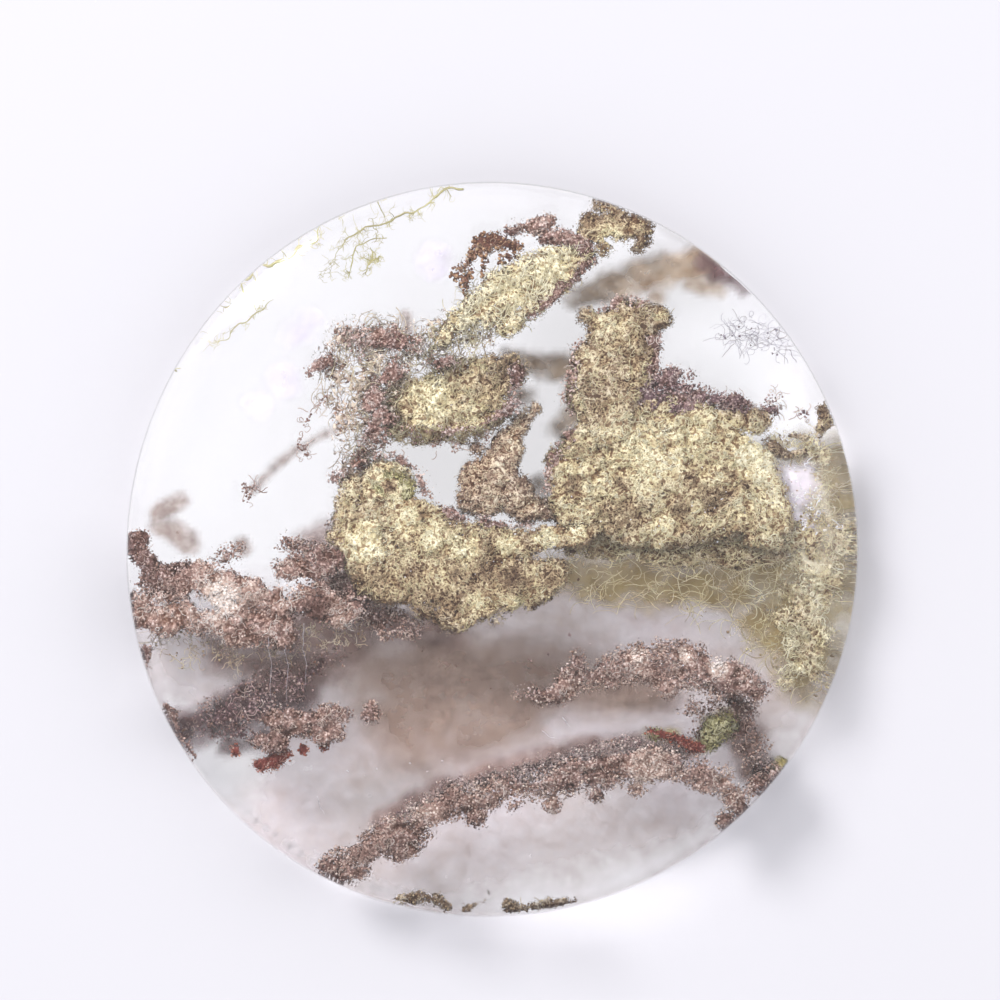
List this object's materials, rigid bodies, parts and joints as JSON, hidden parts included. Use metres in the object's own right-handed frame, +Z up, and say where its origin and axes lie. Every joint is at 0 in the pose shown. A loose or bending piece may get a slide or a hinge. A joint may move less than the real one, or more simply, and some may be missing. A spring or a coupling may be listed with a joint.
{
  "type": "moss agate cabochon",
  "caption": "Round polished moss agate with a low dome, a narrow rounded shoulder and a flat back, made to be set in a bezel.",
  "frame": {"origin": "centre of the outline's bounding box, on the plane of the flat back", "axes": "+Z up through the dome, away from the flat back; +Y towards the edge that is uppermost when the stone stands as in the picture; +X to its right, seen from the domed side"},
  "size_m": [0.03, 0.03, 0.0055],
  "materials": {
    "agate": "polished, clear to slightly milky",
    "moss": "matt mineral moss inside the clear stone, cream and yellow-green with brown and maroon edges"
  },
  "bodies": {
    "root": {"cabochon": "agate"}
  },
  "joints": []
}
